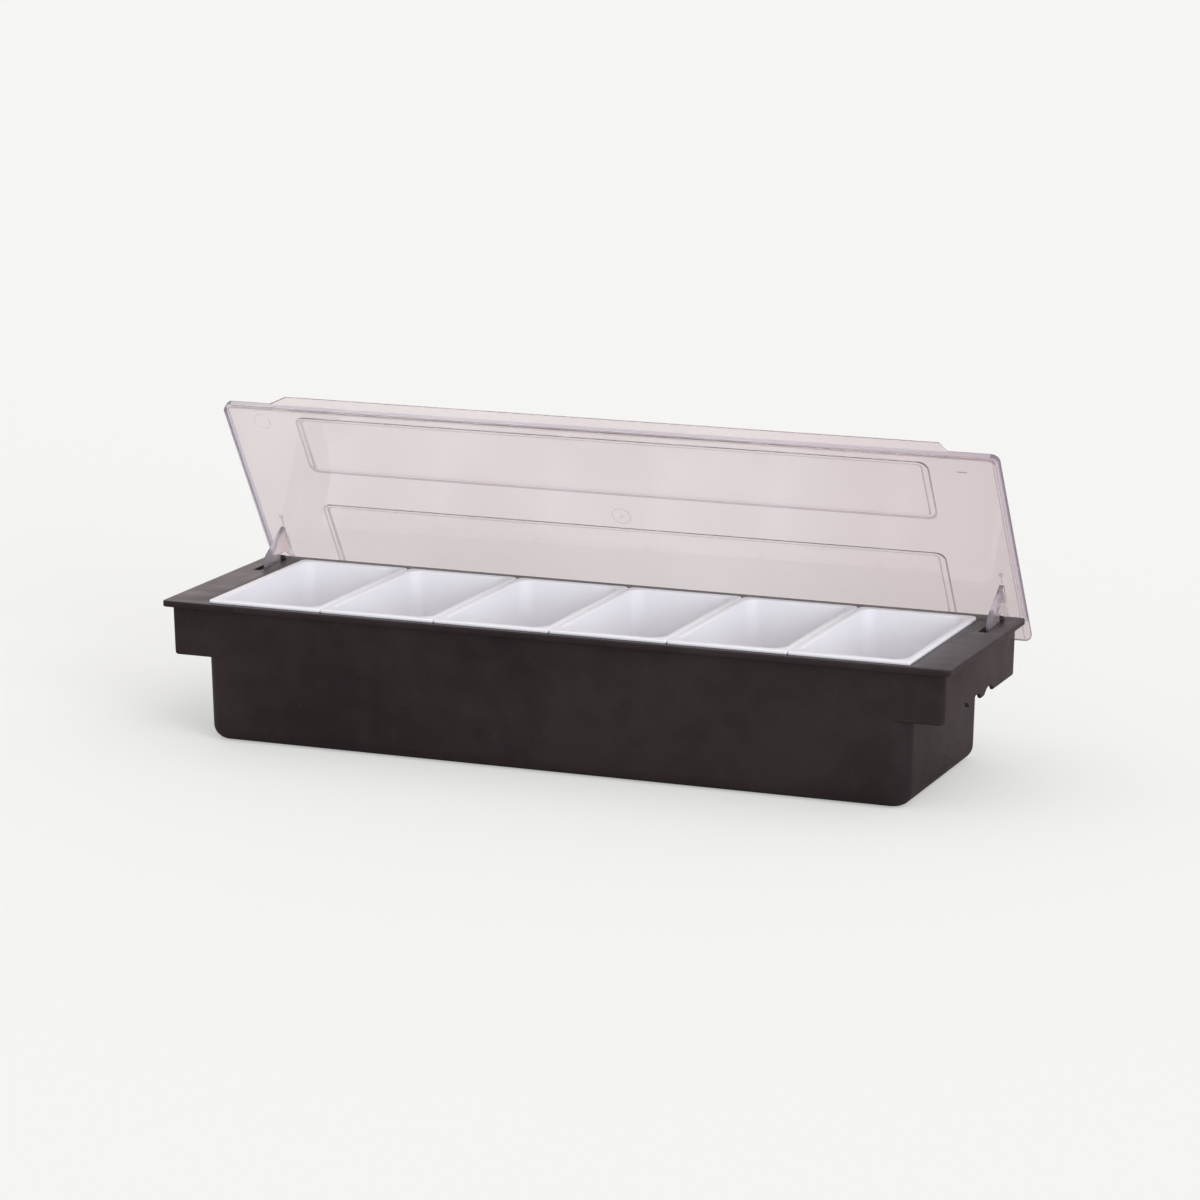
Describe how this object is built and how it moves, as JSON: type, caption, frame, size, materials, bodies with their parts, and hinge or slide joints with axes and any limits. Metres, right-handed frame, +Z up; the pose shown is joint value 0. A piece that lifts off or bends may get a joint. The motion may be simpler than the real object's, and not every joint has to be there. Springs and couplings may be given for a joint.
{
  "type": "condiment caddy with flip lid",
  "caption": "Long bar condiment caddy: black tub with end wings, white lift-out inserts in a row, and a clear full-length lid that swings up on curved arms through the end shelves.",
  "frame": {"origin": "centre of the base's length and width, on the table that it stands on", "axes": "+X is to the right along the long side, seen from the front, +Y is from the front edge to the rear edge where the lid is hinged, and +Z is up"},
  "size_m": [0.5, 0.1668, 0.199],
  "materials": {
    "base_plastic": "black moulded plastic with a fine satin texture",
    "insert_plastic": "glossy white moulded plastic",
    "lid_plastic": "clear moulded plastic with a faint pink tinge"
  },
  "bodies": {
    "base": {"rim": "base_plastic", "tub": "base_plastic", "wing_left": "base_plastic", "wing_right": "base_plastic"},
    "lid": {"lid": "lid_plastic", "lid_skirt": "lid_plastic", "arm_left": "lid_plastic", "arm_right": "lid_plastic"},
    "insert_1": {"insert_1": "insert_plastic"},
    "insert_2": {"insert_2": "insert_plastic"},
    "insert_3": {"insert_3": "insert_plastic"},
    "insert_4": {"insert_4": "insert_plastic"},
    "insert_5": {"insert_5": "insert_plastic"},
    "insert_6": {"insert_6": "insert_plastic"}
  },
  "joints": [
    {"name": "lid_hinge", "type": "hinge", "parent": "base", "child": "lid", "pos_m": [0, 0.063, 0.0645], "axis": [-1, 0, 0], "range_deg": [-58.4, 0]},
    {"name": "insert_1_lift", "type": "slide", "parent": "base", "child": "insert_1", "axis": [0, 0, 1], "range_m": [0, 0.024]},
    {"name": "insert_2_lift", "type": "slide", "parent": "base", "child": "insert_2", "axis": [0, 0, 1], "range_m": [0, 0.024]},
    {"name": "insert_3_lift", "type": "slide", "parent": "base", "child": "insert_3", "axis": [0, 0, 1], "range_m": [0, 0.024]},
    {"name": "insert_4_lift", "type": "slide", "parent": "base", "child": "insert_4", "axis": [0, 0, 1], "range_m": [0, 0.024]},
    {"name": "insert_5_lift", "type": "slide", "parent": "base", "child": "insert_5", "axis": [0, 0, 1], "range_m": [0, 0.024]},
    {"name": "insert_6_lift", "type": "slide", "parent": "base", "child": "insert_6", "axis": [0, 0, 1], "range_m": [0, 0.024]}
  ]
}
